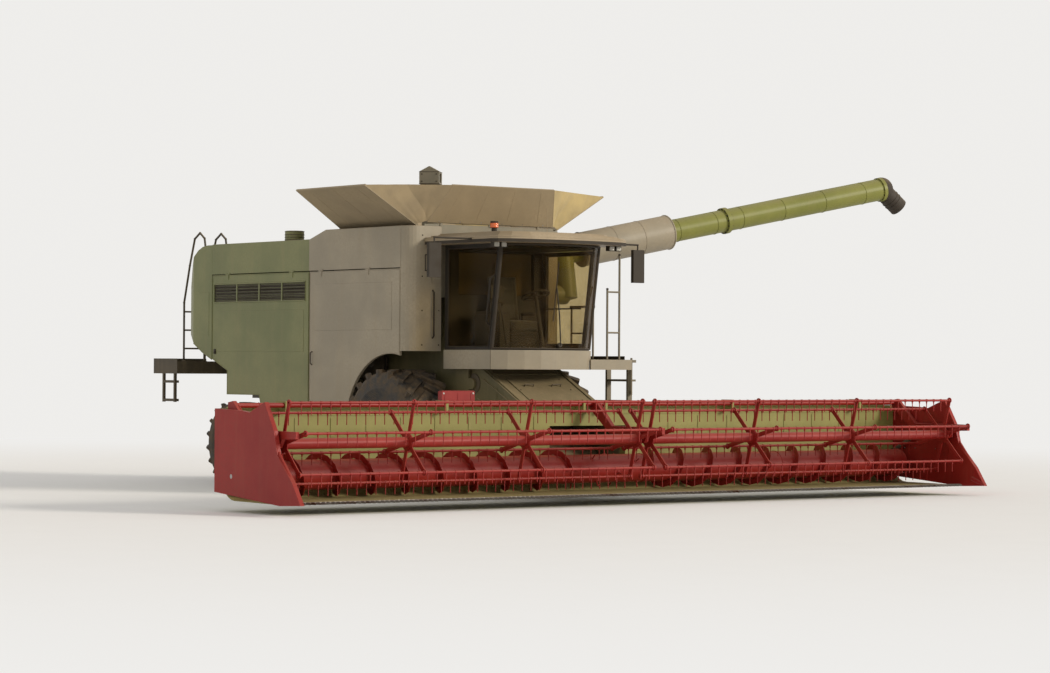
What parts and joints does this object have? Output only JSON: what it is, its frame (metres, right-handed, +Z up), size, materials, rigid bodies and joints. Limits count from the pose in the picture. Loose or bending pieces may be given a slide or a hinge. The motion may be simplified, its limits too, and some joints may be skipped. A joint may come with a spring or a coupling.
{
  "type": "combine harvester",
  "caption": "Self-propelled combine harvester with a wide grain header, bat reel, open grain tank covers and a swung-out unloading auger.",
  "frame": {"origin": "on the ground at the middle of the overall outline, unloading auger out", "axes": "+X forward, +Y to the machine's left, +Z up"},
  "size_m": [11.29, 14.1121, 5.0041],
  "materials": {
    "chassis_paint": "dark chassis paint, dusty",
    "bare_steel": "turned steel",
    "body_green_dark": "olive paint in shade, dusty",
    "body_cream": "off-white paint, dusty",
    "body_green": "yellow-green paint, dusty",
    "engine_grey": "cast grey",
    "worn_steel": "worn steel",
    "dark_steel": "black paint, dusty",
    "tank_steel": "scuffed paint",
    "flap_cloth": "grey-beige panel, dusty",
    "gusset_cloth": "coated cloth",
    "tube_green": "yellow-green paint, dusty",
    "cab_dark": "dark grey paint",
    "roof_cream": "off-white moulding, dusty",
    "cab_glass": "tinted glass",
    "cab_trim": "dark trim",
    "spout_dark": "dark rubber spout",
    "black_plastic": "black moulding",
    "chrome_rod": "polished rod",
    "header_green": "yellow-green paint, dusty",
    "header_red": "red paint, dusty",
    "tyre": "black rubber, dusty",
    "rim_paint": "off-white paint"
  },
  "bodies": {
    "chassis": {"chassis_frame": "chassis_paint", "front_axle": "chassis_paint", "rear_axle": "chassis_paint", "threshing_body": "body_green_dark", "body_top": "body_cream", "deck_bands": "body_green", "straw_hood": "body_green", "engine_block": "engine_grey", "spreader_board": "dark_steel", "grain_tank": "tank_steel", "tank_gussets": "gusset_cloth", "unload_turret": "body_green", "cab_shell": "cab_dark", "cab_skirt": "body_cream", "cab_roof": "roof_cream", "cab_glass": "cab_glass", "cab_interior": "cab_trim", "cab_fittings": "black_plastic", "platforms": "dark_steel", "deck_ladder": "dark_steel"},
    "wheel_front_left": {"tyre_front_left": "tyre", "rim_front_left": "rim_paint"},
    "wheel_front_right": {"tyre_front_right": "tyre", "rim_front_right": "rim_paint"},
    "wheel_rear_left": {"tyre_rear_left": "tyre", "rim_rear_left": "rim_paint"},
    "wheel_rear_right": {"tyre_rear_right": "tyre", "rim_rear_right": "rim_paint"},
    "knuckle_left": {"knuckle_left": "chassis_paint"},
    "knuckle_right": {"knuckle_right": "chassis_paint"},
    "tie_rod": {"tie_rod": "bare_steel"},
    "door_front_left": {"door_front_left": "body_cream"},
    "door_front_right": {"door_front_right": "body_cream"},
    "door_rear_left": {"door_rear_left": "body_green"},
    "door_rear_right": {"door_rear_right": "body_green"},
    "chopper_rotor": {"chopper_rotor": "worn_steel"},
    "flap_front": {"flap_front": "flap_cloth"},
    "flap_rear": {"flap_rear": "flap_cloth"},
    "flap_left": {"flap_left": "flap_cloth"},
    "flap_right": {"flap_right": "flap_cloth"},
    "fill_auger": {"fill_auger": "dark_steel"},
    "unload_auger": {"unload_auger": "tube_green", "auger_sleeve": "body_cream", "auger_spout": "spout_dark"},
    "cab_door": {"cab_door": "cab_dark", "door_glass": "cab_glass"},
    "access_ladder": {"access_ladder": "dark_steel"},
    "feeder": {"feeder_house": "body_green_dark", "header_frame": "header_green", "header_ends": "header_red", "knife_bar": "worn_steel"},
    "intake_auger": {"intake_auger": "header_red", "auger_flights": "header_red"},
    "lift_barrels": {"lift_barrels": "chassis_paint"},
    "lift_rods": {"lift_rods": "chrome_rod"},
    "reel_arms": {"reel_arms": "header_red"},
    "reel_barrels": {"reel_barrels": "chassis_paint"},
    "reel_rods": {"reel_rods": "chrome_rod"},
    "reel": {"reel_core": "header_red", "reel_bats": "header_red"}
  },
  "joints": [
    {"name": "front_wheel_left_spin", "type": "hinge", "parent": "chassis", "child": "wheel_front_left", "pos_m": [0.96, 0.3739, 0.92], "axis": [0, 1, 0], "continuous": true},
    {"name": "front_wheel_right_spin", "type": "hinge", "parent": "chassis", "child": "wheel_front_right", "pos_m": [0.96, -2.2261, 0.92], "axis": [0, 1, 0], "continuous": true},
    {"name": "steering_left", "type": "hinge", "parent": "chassis", "child": "knuckle_left", "pos_m": [-3.44, 0.0739, 0.65], "axis": [0, 0, 1], "range_deg": [-35, 35]},
    {"name": "rear_wheel_left_spin", "type": "hinge", "parent": "knuckle_left", "child": "wheel_rear_left", "pos_m": [-3.44, 0.3739, 0.65], "axis": [0, 1, 0], "continuous": true},
    {"name": "steering_right", "type": "hinge", "parent": "chassis", "child": "knuckle_right", "pos_m": [-3.44, -1.9261, 0.65], "axis": [0, 0, 1], "range_deg": [-35, 35]},
    {"name": "rear_wheel_right_spin", "type": "hinge", "parent": "knuckle_right", "child": "wheel_rear_right", "pos_m": [-3.44, -2.2261, 0.65], "axis": [0, 1, 0], "continuous": true},
    {"name": "tie_rod_slide", "type": "slide", "parent": "chassis", "child": "tie_rod", "axis": [0, 1, 0], "range_m": [-0.137, 0.137]},
    {"name": "side_door_front_left_lift", "type": "hinge", "parent": "chassis", "child": "door_front_left", "pos_m": [0.01, 0.5789, 3.322], "axis": [1, 0, 0], "range_deg": [0, 80]},
    {"name": "side_door_rear_left_lift", "type": "hinge", "parent": "chassis", "child": "door_rear_left", "pos_m": [-2.59, 0.5789, 3.322], "axis": [1, 0, 0], "range_deg": [0, 80]},
    {"name": "side_door_front_right_lift", "type": "hinge", "parent": "chassis", "child": "door_front_right", "pos_m": [0.01, -2.4311, 3.322], "axis": [-1, 0, 0], "range_deg": [0, 80]},
    {"name": "side_door_rear_right_lift", "type": "hinge", "parent": "chassis", "child": "door_rear_right", "pos_m": [-2.59, -2.4311, 3.322], "axis": [-1, 0, 0], "range_deg": [0, 80]},
    {"name": "chopper_spin", "type": "hinge", "parent": "chassis", "child": "chopper_rotor", "pos_m": [-3.9, -0.9261, 2.18], "axis": [0, 1, 0], "continuous": true},
    {"name": "flap_front_fold", "type": "hinge", "parent": "chassis", "child": "flap_front", "pos_m": [1.38, -0.9261, 3.994], "axis": [0, -1, 0], "range_deg": [0, 121]},
    {"name": "flap_rear_fold", "type": "hinge", "parent": "chassis", "child": "flap_rear", "pos_m": [-0.84, -0.9261, 3.994], "axis": [0, 1, 0], "range_deg": [0, 143.5]},
    {"name": "flap_left_fold", "type": "hinge", "parent": "chassis", "child": "flap_left", "pos_m": [0.35, 0.3539, 3.961], "axis": [1, 0, 0], "range_deg": [0, 149.4]},
    {"name": "flap_right_fold", "type": "hinge", "parent": "chassis", "child": "flap_right", "pos_m": [0.35, -2.2061, 3.961], "axis": [-1, 0, 0], "range_deg": [0, 149.4]},
    {"name": "fill_auger_lower", "type": "slide", "parent": "chassis", "child": "fill_auger", "axis": [0, 0, 1], "range_m": [-0.946, 0]},
    {"name": "unload_auger_swing", "type": "hinge", "parent": "chassis", "child": "unload_auger", "pos_m": [1.06, 0.6739, 3.62], "axis": [-0.1564, 0, 0.9877], "range_deg": [0, 98]},
    {"name": "cab_door_open", "type": "hinge", "parent": "chassis", "child": "cab_door", "pos_m": [1.579, -0.0141, 2.9], "axis": [0, 0, 1], "range_deg": [0, 60]},
    {"name": "ladder_swing", "type": "hinge", "parent": "chassis", "child": "access_ladder", "pos_m": [2.65, 0.7639, 1.7], "axis": [0, 0, 1], "range_deg": [0, 90]},
    {"name": "feeder_lift", "type": "hinge", "parent": "chassis", "child": "feeder", "pos_m": [1.98, -0.9261, 1.64], "axis": [0, -1, 0], "range_deg": [-1.5, 20]},
    {"name": "intake_auger_spin", "type": "hinge", "parent": "feeder", "child": "intake_auger", "pos_m": [4.022, -0.9261, 0.462], "axis": [0, 1, 0], "continuous": true},
    {"name": "lift_barrel_pivot", "type": "hinge", "parent": "chassis", "child": "lift_barrels", "pos_m": [1.21, -0.9261, 0.69], "axis": [0, -1, 0], "range_deg": [-2, 12]},
    {"name": "lift_rod_slide", "type": "slide", "parent": "lift_barrels", "child": "lift_rods", "axis": [0.9995, 0, -0.0323], "range_m": [-0.04, 0.36]},
    {"name": "reel_lift", "type": "hinge", "parent": "feeder", "child": "reel_arms", "pos_m": [3.84, -0.9261, 1.37], "axis": [0, -1, 0], "range_deg": [0, 25]},
    {"name": "reel_barrel_pivot", "type": "hinge", "parent": "feeder", "child": "reel_barrels", "pos_m": [3.81, -0.9261, 0.64], "axis": [0, -1, 0], "range_deg": [-1, 11]},
    {"name": "reel_rod_slide", "type": "slide", "parent": "reel_barrels", "child": "reel_rods", "axis": [0.8908, 0, 0.4545], "range_m": [-0.01, 0.3]},
    {"name": "reel_spin", "type": "hinge", "parent": "reel_arms", "child": "reel", "pos_m": [4.92, -0.9261, 0.9], "axis": [0, 1, 0], "continuous": true}
  ],
  "couplings": [
    {"joint": "steering_right", "follows": "steering_left", "ratio": 1},
    {"joint": "tie_rod_slide", "follows": "steering_left", "m_per_rad": -0.22347},
    {"joint": "fill_auger_lower", "follows": "flap_right_fold", "m_per_rad": -0.3628},
    {"joint": "lift_barrel_pivot", "follows": "feeder_lift", "ratio": 0.55512},
    {"joint": "lift_rod_slide", "follows": "feeder_lift", "m_per_rad": 0.8965},
    {"joint": "reel_barrel_pivot", "follows": "reel_lift", "ratio": 0.3982},
    {"joint": "reel_rod_slide", "follows": "reel_lift", "m_per_rad": 0.60354}
  ]
}
